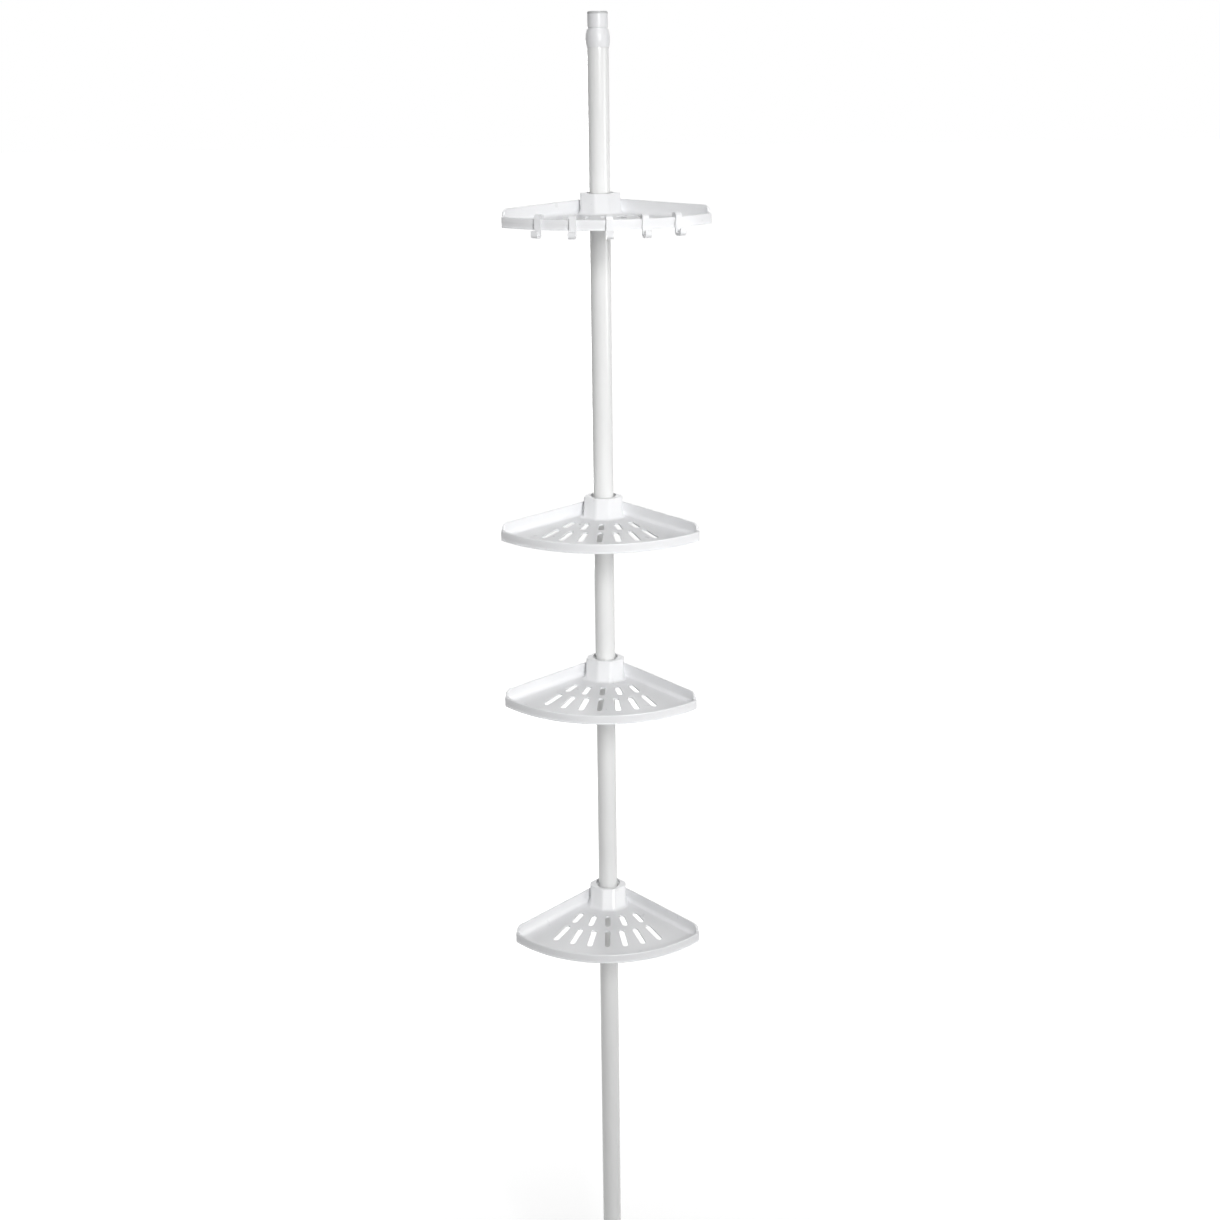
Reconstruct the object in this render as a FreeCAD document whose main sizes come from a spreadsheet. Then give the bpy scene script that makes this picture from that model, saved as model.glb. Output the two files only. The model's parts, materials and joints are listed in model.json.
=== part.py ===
"""A tension pole shelf unit: a tube pole wedged upright between two surfaces, with four corner trays.

Frame: millimetres, +Z up, origin on the pole's axis at the underside of the foot.
The trays open towards -Y, and their back corner points to +Y.
"""
import FreeCAD, Part
import os
import re
import Sketcher

doc = FreeCAD.newDocument("tension_pole_shelf_unit")
sizes = doc.addObject("Spreadsheet::Sheet", "sizes")

# The driving dimensions, in millimetres and degrees. Everything else follows from them.
DRIVING_SIZES = (
    ("total_height", 2050.0, "underside of the foot to the top of the head pad, as set"),
    ("press_clearance", 0.04, "radial gap of a plug pressed into a tube"),
    ("running_clearance", 0.1, "radial gap of pieces that slide or turn on each other"),
    ("seat_clearance", 0.2, "gap under a piece that rests on another body"),
    # pole
    ("pole_diameter", 27.0, "outside of the three pole tubes"),
    ("tube_wall", 0.6, "coated steel wall of the pole tubes"),
    ("tube_length", 600.0, "each pole tube"),
    ("coupler_reach", 40.0, "how far a coupler goes into each tube"),
    ("coupler_shoulder", 1.5, "ring of the coupler between two tube ends"),
    ("coupler_wall", 2.2, "moulded wall of the coupler"),
    # sprung head
    ("head_rise", 21.0, "head above the collar, pad included"),
    ("head_diameter", 25.2, "plunger where it passes the collar"),
    ("head_skirt", 36.0, "plunger length below the collar's mouth"),
    ("head_wall", 1.5, "moulded wall of the plunger"),
    ("groove_depth", 0.7, "groove round the plunger just above the collar"),
    ("groove_height", 1.6, "straight bottom of that groove"),
    ("bead_width", 3.0, "retaining bead of the plunger"),
    ("bead_rise", 0.2, "how far the bead stands out"),
    ("pad_thickness", 3.0, "rubber pad on the plunger"),
    ("pad_stem_diameter", 8.0, "stem that holds the pad"),
    ("pad_stem_length", 5.0, "stem that holds the pad"),
    ("collar_diameter", 29.9, "widest part of the collar"),
    ("collar_height", 21.0, "whole collar"),
    ("collar_lip", 4.0, "collar above the tube's end"),
    ("collar_taper", 7.0, "height of the collar's sloping top and bottom"),
    ("collar_round", 22.0, "swell of the collar between its slopes"),
    ("collar_mouth", 0.5, "wall left at the collar's mouth"),
    ("collar_edge", 0.7, "wall left at the collar's lower edge"),
    ("spring_length", 96.0, "spring as fitted"),
    ("spring_radius", 8.8, "middle of the wire"),
    ("wire_diameter", 2.2, "spring wire"),
    ("spring_turns", 9.0, "turns of the spring"),
    ("seat_thickness", 8.0, "plug under the spring"),
    # lower end: telescopic leg, twist lock and foot
    ("leg_diameter", 22.0, "leg tube"),
    ("leg_wall", 1.0, "steel wall of the leg tube"),
    ("leg_overlap", 290.0, "leg inside the pole, as set"),
    ("guide_length", 14.0, "bush on the leg's upper end"),
    ("plug_length", 22.0, "plugs inside the leg tube"),
    ("lock_reach", 30.0, "collet plug inside the pole tube"),
    ("lock_shoulder", 3.0, "collet ring against the tube's end"),
    ("lock_shoulder_diameter", 31.0, "collet ring"),
    ("thread_diameter", 28.6, "collet where the nut grips"),
    ("thread_length", 11.0, "straight part of the collet"),
    ("collet_length", 24.0, "collet below its ring"),
    ("collet_tip_diameter", 24.8, "sloping end of the collet"),
    ("collet_slot", 1.6, "saw cuts of the collet"),
    ("nut_diameter", 37.0, "outside of the lock nut"),
    ("nut_lip", 2.5, "closed end of the nut"),
    ("nut_flute", 3.0, "grip flutes of the nut"),
    ("foot_diameter", 42.0, "rubber foot on the floor"),
    ("foot_top_diameter", 32.0, "rubber foot at its top"),
    ("foot_height", 17.0, "rubber foot"),
    ("foot_flange", 4.0, "plug flange let into the foot"),
    ("foot_flange_diameter", 27.0, "plug flange let into the foot"),
    # trays
    ("tray_drop_1", 247.0, "top of the pad to the underside of the top tray"),
    ("tray_drop_2", 644.0, "the same for the second tray"),
    ("tray_drop_3", 875.0, "the same for the third tray"),
    ("tray_drop_4", 1226.0, "the same for the bottom tray"),
    ("tray_turn_1", 5.0, "top tray turned about the pole"),
    ("tray_turn_2", -2.4, "second tray"),
    ("tray_turn_3", -3.6, "third tray"),
    ("tray_turn_4", -0.5, "bottom tray"),
    ("front_depth", 158.5, "pole axis to the middle of the front rim"),
    ("front_radius", 177.5, "bow of the front rim"),
    ("corner_radius", 7.0, "outer corners"),
    ("inner_corner_radius", 7.0, "corners of the hollow"),
    ("wall_height", 21.5, "two straight back walls"),
    ("wall_thickness", 3.0, "two straight back walls"),
    ("wall_end_back", 2.0, "centres of the outer corners back to the walls' ends"),
    ("wall_end_round", 6.8, "rounded upper corner of a wall's end"),
    ("wall_end_cove", 2.0, "hollow corner between a wall's end and the rim"),
    ("rim_height", 12.5, "bowed front rim"),
    ("rim_thickness", 3.6, "bowed front rim"),
    ("edge_round", 1.3, "rounded top edges of the walls and the rim"),
    ("floor_rise", 2.6, "hollow under the floor"),
    ("floor_thickness", 2.4, "tray floor"),
    ("floor_cove", 5.2, "hollow corner between the floor and whatever stands on it"),
    ("rib_thickness", 1.8, "stiffening ribs under the floor"),
    ("boss_wall", 2.2, "wall of the boss at its top"),
    ("boss_height", 29.5, "boss round the pole"),
    ("boss_half_width", 25.5, "pole axis to the boss's sides"),
    ("boss_front", 19.5, "pole axis to the boss's flat front, at its top"),
    ("boss_front_half", 9.0, "half of the flat front"),
    ("boss_facet_back", 9.0, "pole axis to where a facet meets a side, at its top"),
    ("boss_slope", 18.0, "how much further forward the front stands at the floor"),
    ("boss_skin", 2.4, "moulded skin of the boss's hollow front"),
    ("boss_recess", 5.0, "open ring above the sleeve"),
    ("boss_mouth", 17.0, "radius of the open ring"),
    ("boss_round", 0.8, "rounded top edge of the boss"),
    ("boss_side_round", 4.0, "rounded edges between the boss's sides and its facets"),
    ("boss_facet_round", 10.0, "rounded edges between the facets and the flat front"),
    ("rim_bead", 6.0, "height of the rim's thicker upper part"),
    ("rim_step", 0.9, "how far the rest of the rim lies back"),
    ("rim_foot", 1.4, "thicker strip along the rim's lower edge"),
    ("slot_width", 7.5, "drain slots"),
    ("slot_pitch", 22.0, "between neighbouring slots"),
    ("fan_centre", 30.0, "pole axis back to the point the slots fan out from"),
    ("inner_slot_start", 50.0, "inner row, from the pole's axis"),
    ("inner_slot_length", 27.0, "inner row"),
    ("outer_slot_start", 87.0, "outer row, from the pole's axis"),
    ("outer_slot_length", 40.0, "outer row"),
    # split wedge sleeve between a tray and the pole
    ("sleeve_top_wall", 1.6, "wall of the sleeve at its thin upper end"),
    ("sleeve_taper", 1.4, "how much thicker the sleeve is at its lower end"),
    ("sleeve_flange", 2.0, "height of the sleeve's flange under the tray"),
    ("sleeve_flange_rise", 2.4, "how far the flange stands out"),
    ("sleeve_split", 2.0, "angle left open at each end of a half"),
    # hooks over the rim of the top tray
    ("hook_width", 8.0, "along the rim"),
    ("hook_thickness", 2.8, "stem and curl"),
    ("hook_crown", 5.4, "above the rim"),
    ("hook_inner_leg", 3.0, "leg behind the rim"),
    ("hook_drop", 9.0, "below the rim"),
    ("hook_gap", 7.0, "opening of the curl"),
    ("hook_tip", 9.0, "height of the curl's tip"),
    ("hook_clearance", 0.15, "gap between hook and rim"),
    ("hook_round", 1.0, "rounded edges"),
    ("hook_angle", 13.8, "between neighbouring hooks, about the bow's centre"),
    ("hook_offset", -0.7, "middle hook from the middle of the rim, about the bow's centre"),
)
for row, (alias, number, meaning) in enumerate(DRIVING_SIZES, start=1):
    sizes.set(f"A{row}", meaning)
    sizes.set(f"B{row}", str(number))
    sizes.setAlias(f"B{row}", alias)
doc.recompute()

ALIASES = {alias for alias, _, _ in DRIVING_SIZES}
TRAY_NUMBERS = (1, 2, 3, 4)
HOOK_PLACES = (-2, -1, 0, 1, 2)
OUTER_SLOTS = 7
INNER_SLOTS = 5
RIB_ANGLES = (-25.5, -6, 6, 25.5)
COLLET_CUTS = 2
NUT_FLUTES = 14


def text(expression):
    """The expression with every driving size named in it bound to its cell."""
    return re.sub(r"[a-z][a-z_0-9]*", lambda found: f"sizes.{found[0]}" if found[0] in ALIASES else found[0],
                  expression)


def value(expression):
    """The number that an expression gives now."""
    return float(sizes.evalExpression(text(expression)))


# ---------------------------------------------------------------- derived places
POLE_RADIUS = "( pole_diameter / 2 )"
BORE_RADIUS = f"( {POLE_RADIUS} - tube_wall )"
PLUG_RADIUS = f"( {BORE_RADIUS} - press_clearance )"
COLLAR_TOP = "( total_height - head_rise )"
TUBE_TOP = f"( {COLLAR_TOP} - collar_lip )"
UPPER_JOINT = f"( {TUBE_TOP} - tube_length )"
LOWER_JOINT = f"( {UPPER_JOINT} - coupler_shoulder - tube_length )"
TUBE_BOTTOM = f"( {LOWER_JOINT} - coupler_shoulder - tube_length )"

HEAD_RADIUS = "( head_diameter / 2 )"
HEAD_TOP = "( total_height - pad_thickness )"
HEAD_BOTTOM = f"( {COLLAR_TOP} - head_skirt )"
HEAD_ROOF = f"( {HEAD_TOP} - pad_stem_length - head_wall )"
SPRING_BOTTOM = f"( {HEAD_ROOF} - spring_length )"
COLLAR_BOTTOM = f"( {COLLAR_TOP} - collar_height )"

LEG_RADIUS = "( leg_diameter / 2 )"
LEG_BORE = f"( {LEG_RADIUS} - leg_wall )"
LEG_TOP = f"( {TUBE_BOTTOM} + leg_overlap )"
LOCK_RING_BOTTOM = f"( {TUBE_BOTTOM} - lock_shoulder )"
THREAD_BOTTOM = f"( {LOCK_RING_BOTTOM} - thread_length )"
COLLET_BOTTOM = f"( {LOCK_RING_BOTTOM} - collet_length )"
LEG_GRIP = f"( {LEG_RADIUS} + running_clearance )"

SLEEVE_BORE = f"( {POLE_RADIUS} + running_clearance )"
SLEEVE_TOP_RADIUS = f"( {SLEEVE_BORE} + sleeve_top_wall )"
SLEEVE_FOOT_RADIUS = f"( {SLEEVE_TOP_RADIUS} + sleeve_taper )"
SLEEVE_HEIGHT = "( boss_height - boss_recess )"
BOSS_BORE_TOP = f"( {SLEEVE_TOP_RADIUS} + running_clearance )"
BOSS_BORE_FOOT = f"( {SLEEVE_FOOT_RADIUS} + running_clearance )"
BOSS_RADIUS = f"( {BOSS_BORE_FOOT} + boss_wall )"

# The back walls run at 45 degrees and touch the boss's circle; they would meet at (0, OUTER_VERTEX).
OUTER_VERTEX = f"( {BOSS_RADIUS} * sqrt( 2 ) )"
INNER_VERTEX = f"( {OUTER_VERTEX} - wall_thickness * sqrt( 2 ) )"
BOW_CENTRE = "( front_radius - front_depth )"
FLOOR_TOP = "( floor_rise + floor_thickness )"


def corner_x(vertex, radius):
    """Where a back wall through (0, vertex) meets the bow of that radius."""
    step = f"( {vertex} - {BOW_CENTRE} )"
    return f"( ( {step} + sqrt( 2 * {radius} * {radius} - {step} * {step} ) ) / 2 )"


OUTER_CORNER_X = corner_x(OUTER_VERTEX, "front_radius")
OUTER_CORNER_Y = f"( {OUTER_VERTEX} - {OUTER_CORNER_X} )"
INNER_BOW_RADIUS = "( front_radius - rim_thickness )"
INNER_CORNER_X = corner_x(INNER_VERTEX, INNER_BOW_RADIUS)
INNER_CORNER_Y = f"( {INNER_VERTEX} - {INNER_CORNER_X} )"
# The back walls end behind the centres of the outer corners.
CORNER_CENTRE_VERTEX = f"( {OUTER_VERTEX} - corner_radius * sqrt( 2 ) )"
CORNER_CENTRE_X = corner_x(CORNER_CENTRE_VERTEX, "( front_radius - corner_radius )")
WALL_END_Y = f"( {CORNER_CENTRE_VERTEX} - {CORNER_CENTRE_X} + wall_end_back )"


# ---------------------------------------------------------------- modelling helpers
def new_body(label):
    body = doc.addObject("PartDesign::Body", label)
    body.Label = label
    return body


def new_sketch(body, name, plane, height="0"):
    """A sketch on one of the body's own origin planes, raised along the plane's normal."""
    sketch = body.newObject("Sketcher::SketchObject", f"{body.Name}_{name}")
    origin_plane = next(part for part in body.Origin.OriginFeatures if part.Role == plane)
    sketch.AttachmentSupport = [(origin_plane, "")]
    sketch.MapMode = "FlatFace"
    if height != "0":
        sketch.setExpression("AttachmentOffset.Base.z", text(height))
    return sketch


def pin(sketch, kind, geometry, end, expression):
    index = sketch.addConstraint(Sketcher.Constraint(kind, -1, 1, geometry, end, value(expression)))
    sketch.setExpression(f"Constraints[{index}]", text(expression))


def pin_point(sketch, geometry, end, x, y):
    """Ties a point of the sketch to two expressions."""
    pin(sketch, "DistanceX", geometry, end, x)
    pin(sketch, "DistanceY", geometry, end, y)


def draw_loop(sketch, points, bows=()):
    """A closed counter-clockwise outline. bows maps an edge's number to its (radius, centre x, centre y)."""
    bows = dict(bows)
    first = sketch.GeometryCount
    places = [FreeCAD.Vector(value(x), value(y), 0) for x, y in points]
    for number, start in enumerate(places):
        end = places[(number + 1) % len(places)]
        if number in bows:
            radius, centre_x, centre_y = bows[number]
            centre = FreeCAD.Vector(value(centre_x), value(centre_y), 0)
            outwards = FreeCAD.Vector(end.y - start.y, start.x - end.x, 0).normalize()
            crest = centre + outwards * value(radius)
            sketch.addGeometry(Part.Arc(start, crest, end))
        else:
            sketch.addGeometry(Part.LineSegment(start, end))
    for number, (x, y) in enumerate(points):
        edge = first + number
        begin, finish = point_ends(sketch, edge, places[number])
        pin_point(sketch, edge, begin, x, y)
        following = first + (number + 1) % len(points)
        next_begin, _ = point_ends(sketch, following, places[(number + 1) % len(points)])
        sketch.addConstraint(Sketcher.Constraint("Coincident", edge, finish, following, next_begin))
        if number in bows:
            pin(sketch, "DistanceY", edge, 3, bows[number][2])


def point_ends(sketch, edge, start):
    """Which end of an edge lies at start, and the other one; an arc always runs counter-clockwise."""
    if sketch.getPoint(edge, 1).distanceToPoint(start) < 1e-6:
        return 1, 2
    return 2, 1


def draw_circle(sketch, x, y, radius):
    centre = FreeCAD.Vector(value(x), value(y), 0)
    edge = sketch.addGeometry(Part.Circle(centre, FreeCAD.Vector(0, 0, 1), value(radius)))
    pin_point(sketch, edge, 3, x, y)
    index = sketch.addConstraint(Sketcher.Constraint("Radius", edge, value(radius)))
    sketch.setExpression(f"Constraints[{index}]", text(radius))


def feature(body, kind, name):
    made = body.newObject(f"PartDesign::{kind}", f"{body.Name}_{name}")
    return made


def turned(label, points, spread=None):
    """A body turned about Z from a half section of (radius, height) points."""
    body = new_body(label)
    sketch = new_sketch(body, "section", "XZ_Plane")
    draw_loop(sketch, points)
    turn = feature(body, "Revolution", "turn")
    turn.Profile = sketch
    turn.ReferenceAxis = (sketch, ["V_Axis"])
    turn.Angle = 360
    if spread is not None:
        turn.Midplane = True
        turn.setExpression("Angle", text(spread))
    doc.recompute()
    return body


def pad(body, sketch, name, length, midplane=False):
    made = feature(body, "Pad", name)
    made.Profile = sketch
    made.setExpression("Length", text(length))
    if midplane:
        made.SideType = "Symmetric"
    return made


def pocket(body, sketch, name, length, upwards=False, midplane=False):
    """Cuts against the sketch's normal, or along it when upwards, and makes sure that it cut something."""
    before = body.Tip.Shape.Volume
    made = feature(body, "Pocket", name)
    made.Profile = sketch
    made.setExpression("Length", text(length))
    made.Reversed = upwards
    if midplane:
        made.SideType = "Symmetric"
    doc.recompute()
    if made.Shape.Volume >= before:
        raise ValueError(f"{made.Name} cuts nothing")
    return made


def polar_pattern(body, original, name, count, angle):
    """Copies of a feature about Z, over a whole turn or an angle."""
    axis = next(part for part in body.Origin.OriginFeatures if part.Role == "Z_Axis")
    made = feature(body, "PolarPattern", name)
    made.Originals = [original]
    made.Axis = (axis, [""])
    made.Occurrences = count
    made.setExpression("Angle", text(angle))
    body.Tip = made
    doc.recompute()
    return made


def edge_names(shape, wanted):
    return [f"Edge{number}" for number, edge in enumerate(shape.Edges, start=1) if wanted(edge)]


def round_edges(body, name, radius, wanted):
    """Fillets the edges of the body's newest feature that wanted picks."""
    base = body.Tip
    edges = edge_names(base.Shape, wanted)
    made = feature(body, "Fillet", name)
    made.Base = (base, edges)
    made.setExpression("Radius", text(radius))
    doc.recompute()
    if not edges or made.Shape.isNull() or not made.Shape.isValid():
        raise ValueError(f"{made.Name} rounds nothing")
    return made


def place(body, height="0", turn="0", x="0", y="0"):
    body.Placement = FreeCAD.Placement(FreeCAD.Vector(0, 0, 0), FreeCAD.Rotation(FreeCAD.Vector(0, 0, 1), 0))
    for path, expression in (("Base.x", x), ("Base.y", y), ("Base.z", height), ("Rotation.Angle", turn)):
        if expression != "0":
            body.setExpression(f"Placement.{path}", text(expression))


def is_ring(edge, radius, height=None):
    """Whether an edge is a circle or arc of that radius, at that height if one is given."""
    curve = edge.Curve
    if not isinstance(curve, Part.Circle) or abs(curve.Radius - radius) > 1e-3:
        return False
    return height is None or abs(curve.Center.z - height) < 1e-3


# ---------------------------------------------------------------- pole tubes and couplers
def make_tube(label, radius, bore, bottom, top):
    return turned(label, ((bore, bottom), (radius, bottom), (radius, top), (bore, top)))


def make_coupler(label, joint):
    """A moulded spigot in both tubes, with a ring of the tube's own diameter between their ends."""
    ring_bottom = f"( {joint} - coupler_shoulder )"
    bore = f"( {PLUG_RADIUS} - coupler_wall )"
    return turned(label, (
        (bore, f"( {ring_bottom} - coupler_reach )"),
        (PLUG_RADIUS, f"( {ring_bottom} - coupler_reach )"),
        (PLUG_RADIUS, ring_bottom),
        (POLE_RADIUS, ring_bottom),
        (POLE_RADIUS, joint),
        (PLUG_RADIUS, joint),
        (PLUG_RADIUS, f"( {joint} + coupler_reach )"),
        (bore, f"( {joint} + coupler_reach )"),
    ))


make_tube("top_tube", POLE_RADIUS, BORE_RADIUS, UPPER_JOINT, TUBE_TOP)
make_tube("middle_tube", POLE_RADIUS, BORE_RADIUS, LOWER_JOINT, f"( {UPPER_JOINT} - coupler_shoulder )")
make_tube("lower_tube", POLE_RADIUS, BORE_RADIUS, TUBE_BOTTOM, f"( {LOWER_JOINT} - coupler_shoulder )")
make_coupler("upper_coupler", UPPER_JOINT)
make_coupler("lower_coupler", LOWER_JOINT)


# ---------------------------------------------------------------- sprung head
def make_top_collar():
    """A barrel-shaped ring over the tube's end, whose lip guides and holds back the plunger."""
    sleeve = f"( {POLE_RADIUS} + press_clearance )"
    edge = f"( {sleeve} + collar_edge )"
    widest = "( collar_diameter / 2 )"
    lip_bore = f"( {HEAD_RADIUS} + running_clearance )"
    body = turned("top_collar", (
        (lip_bore, TUBE_TOP),
        (sleeve, TUBE_TOP),
        (sleeve, COLLAR_BOTTOM),
        (edge, COLLAR_BOTTOM),
        (widest, f"( {COLLAR_BOTTOM} + collar_taper )"),
        (widest, f"( {COLLAR_TOP} - collar_taper )"),
        (f"( {lip_bore} + collar_mouth )", COLLAR_TOP),
        (lip_bore, COLLAR_TOP),
    ))
    round_edges(body, "barrel", "collar_round", lambda edge: is_ring(edge, value(widest)))


def make_head_plunger():
    """A cap-shaped plunger: its bead stays under the collar's lip, its hollow takes the spring, and
    a shallow groove marks where it leaves the collar."""
    groove = f"( {HEAD_RADIUS} - groove_depth )"
    bead_radius = f"( {HEAD_RADIUS} + bead_rise )"
    bead_top = f"( {TUBE_TOP} - seat_clearance )"
    hollow = f"( {HEAD_RADIUS} - head_wall )"
    stem_hole = "( pad_stem_diameter / 2 + press_clearance )"
    body = turned("head_plunger", (
        ("0", HEAD_ROOF),
        (hollow, HEAD_ROOF),
        (hollow, HEAD_BOTTOM),
        (HEAD_RADIUS, HEAD_BOTTOM),
        (HEAD_RADIUS, f"( {bead_top} - bead_width )"),
        (bead_radius, f"( {bead_top} - bead_width )"),
        (bead_radius, bead_top),
        (HEAD_RADIUS, bead_top),
        (HEAD_RADIUS, f"( {COLLAR_TOP} - groove_depth )"),
        (groove, COLLAR_TOP),
        (groove, f"( {COLLAR_TOP} + groove_height )"),
        (HEAD_RADIUS, f"( {COLLAR_TOP} + groove_height + groove_depth )"),
        (HEAD_RADIUS, HEAD_TOP),
        (stem_hole, HEAD_TOP),
        (stem_hole, f"( {HEAD_TOP} - pad_stem_length )"),
        ("0", f"( {HEAD_TOP} - pad_stem_length )"),
    ))
    return body


def make_head_pad():
    body = turned("head_pad", (
        ("0", f"( {HEAD_TOP} - pad_stem_length )"),
        ("( pad_stem_diameter / 2 )", f"( {HEAD_TOP} - pad_stem_length )"),
        ("( pad_stem_diameter / 2 )", HEAD_TOP),
        (HEAD_RADIUS, HEAD_TOP),
        (HEAD_RADIUS, "total_height"),
        ("0", "total_height"),
    ))
    round_edges(body, "soft_edge", "( pad_thickness * 0.7 )",
                lambda edge: is_ring(edge, value(HEAD_RADIUS), value("total_height")))


def make_spring_seat():
    """A plug fixed in the top tube, with a spigot that centres the spring."""
    spigot = "( spring_radius - wire_diameter / 2 - press_clearance )"
    turned("spring_seat", (
        ("0", f"( {SPRING_BOTTOM} - seat_thickness )"),
        (PLUG_RADIUS, f"( {SPRING_BOTTOM} - seat_thickness )"),
        (PLUG_RADIUS, SPRING_BOTTOM),
        (spigot, SPRING_BOTTOM),
        (spigot, f"( {SPRING_BOTTOM} + seat_thickness )"),
        ("0", f"( {SPRING_BOTTOM} + seat_thickness )"),
    ))


def make_tension_spring():
    """A round wire swept along a helix; its ends touch the seat and the plunger's roof."""
    helix = doc.addObject("Part::Helix", "spring_path")
    helix.setExpression("Radius", text("spring_radius"))
    helix.setExpression("Height", text("( spring_length - wire_diameter )"))
    helix.setExpression("Pitch", text("( ( spring_length - wire_diameter ) / spring_turns )"))
    wire = doc.addObject("Part::Circle", "spring_wire")
    wire.setExpression("Radius", text("( wire_diameter / 2 )"))
    wire.Placement = FreeCAD.Placement(FreeCAD.Vector(0, 0, 0), FreeCAD.Rotation(FreeCAD.Vector(1, 0, 0), 90))
    wire.setExpression("Placement.Base.x", text("spring_radius"))
    spring = doc.addObject("Part::Sweep", "tension_spring")
    spring.Label = "tension_spring"
    spring.Sections = [wire]
    spring.Spine = (helix, [])
    spring.Solid = True
    spring.Frenet = True
    spring.setExpression("Placement.Base.z", text(f"( {SPRING_BOTTOM} + wire_diameter / 2 )"))
    doc.recompute()
    return spring


make_top_collar()
make_head_plunger()
make_head_pad()
make_spring_seat()
make_tension_spring()


# ---------------------------------------------------------------- telescopic leg, twist lock and foot
def make_leg_guide():
    """A bush on the leg's upper end that runs in the pole tube."""
    plug = f"( {LEG_BORE} - press_clearance )"
    running = f"( {BORE_RADIUS} - running_clearance )"
    turned("leg_guide", (
        ("0", f"( {LEG_TOP} - plug_length )"),
        (plug, f"( {LEG_TOP} - plug_length )"),
        (plug, LEG_TOP),
        (running, LEG_TOP),
        (running, f"( {LEG_TOP} + guide_length )"),
        ("0", f"( {LEG_TOP} + guide_length )"),
    ))


def make_lock_collet():
    """A plug in the pole tube whose split lower end is squeezed onto the leg by the nut."""
    thread = "( thread_diameter / 2 )"
    body = turned("lock_collet", (
        (LEG_GRIP, COLLET_BOTTOM),
        ("( collet_tip_diameter / 2 )", COLLET_BOTTOM),
        (thread, THREAD_BOTTOM),
        (thread, LOCK_RING_BOTTOM),
        ("( lock_shoulder_diameter / 2 )", LOCK_RING_BOTTOM),
        ("( lock_shoulder_diameter / 2 )", TUBE_BOTTOM),
        (PLUG_RADIUS, TUBE_BOTTOM),
        (PLUG_RADIUS, f"( {TUBE_BOTTOM} + lock_reach )"),
        (LEG_GRIP, f"( {TUBE_BOTTOM} + lock_reach )"),
    ))
    saw = new_sketch(body, "saw", "XY_Plane", COLLET_BOTTOM)
    half_cut = "( collet_slot / 2 )"
    draw_loop(saw, (
        (f"( 0 - thread_diameter )", f"( 0 - {half_cut} )"),
        ("thread_diameter", f"( 0 - {half_cut} )"),
        ("thread_diameter", half_cut),
        (f"( 0 - thread_diameter )", half_cut),
    ))
    cut = pocket(body, saw, "saw_cut", f"( {THREAD_BOTTOM} - {COLLET_BOTTOM} )", upwards=True)
    polar_pattern(body, cut, "saw_cuts", COLLET_CUTS, "180")


def make_lock_nut():
    """A fluted nut that turns on the collet and presses its sloping end inwards."""
    gap = "running_clearance"
    bottom = f"( {COLLET_BOTTOM} - nut_lip )"
    top = f"( {LOCK_RING_BOTTOM} - seat_clearance )"
    body = turned("lock_nut", (
        (f"( {LEG_GRIP} + collet_slot / 2 )", bottom),
        ("( nut_diameter / 2 )", bottom),
        ("( nut_diameter / 2 )", top),
        (f"( thread_diameter / 2 + {gap} )", top),
        (f"( thread_diameter / 2 + {gap} )", f"( {THREAD_BOTTOM} )"),
        (f"( collet_tip_diameter / 2 + {gap} )", f"( {COLLET_BOTTOM} - seat_clearance )"),
        (f"( {LEG_GRIP} + collet_slot / 2 )", f"( {COLLET_BOTTOM} - seat_clearance )"),
    ))
    round_edges(body, "edges", "1.2", lambda edge: is_ring(edge, value("( nut_diameter / 2 )")))
    flute = new_sketch(body, "flute", "XY_Plane", top)
    draw_circle(flute, "( nut_diameter / 2 + nut_flute / 4 )", "0", "( nut_flute / 2 )")
    cut = pocket(body, flute, "flute_cut", f"( {top} - {bottom} )")
    polar_pattern(body, cut, "flutes", NUT_FLUTES, "360")


def make_foot():
    """A rubber foot, and the plug that joins it to the leg."""
    flange_bottom = "( foot_height - foot_flange )"
    plug = f"( {LEG_BORE} - press_clearance )"
    flange = "( foot_flange_diameter / 2 )"
    turned("foot_plug", (
        ("0", flange_bottom),
        (flange, flange_bottom),
        (flange, "foot_height"),
        (plug, "foot_height"),
        (plug, "( foot_height + plug_length )"),
        ("0", "( foot_height + plug_length )"),
    ))
    foot = turned("foot_pad", (
        ("0", "0"),
        ("( foot_diameter / 2 )", "0"),
        ("( foot_top_diameter / 2 )", "foot_height"),
        (f"( {flange} + press_clearance )", "foot_height"),
        (f"( {flange} + press_clearance )", flange_bottom),
        ("0", flange_bottom),
    ))
    round_edges(foot, "soft_edge", "1.5",
                lambda edge: is_ring(edge, value("( foot_top_diameter / 2 )"), value("foot_height")))


make_tube("leg_tube", LEG_RADIUS, LEG_BORE, "foot_height", LEG_TOP)
make_leg_guide()
make_lock_collet()
make_lock_nut()
make_foot()


# ---------------------------------------------------------------- trays
def draw_quarter(sketch, vertex, x, y, radius):
    """Two straight sides at 45 degrees from (0, vertex) and a bow in front."""
    draw_loop(sketch, (("0", vertex), (f"( 0 - {x} )", y), (x, y)), {1: (radius, "0", BOW_CENTRE)})


def draw_round_backed_quarter(sketch):
    """The tray's outline: its back corner is a quarter circle about the pole."""
    touch = f"( {BOSS_RADIUS} / sqrt( 2 ) )"
    draw_loop(sketch, (
        (touch, touch),
        (f"( 0 - {touch} )", touch),
        (f"( 0 - {OUTER_CORNER_X} )", OUTER_CORNER_Y),
        (OUTER_CORNER_X, OUTER_CORNER_Y),
    ), {0: (BOSS_RADIUS, "0", "0"), 2: ("front_radius", "0", BOW_CENTRE)})


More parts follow.
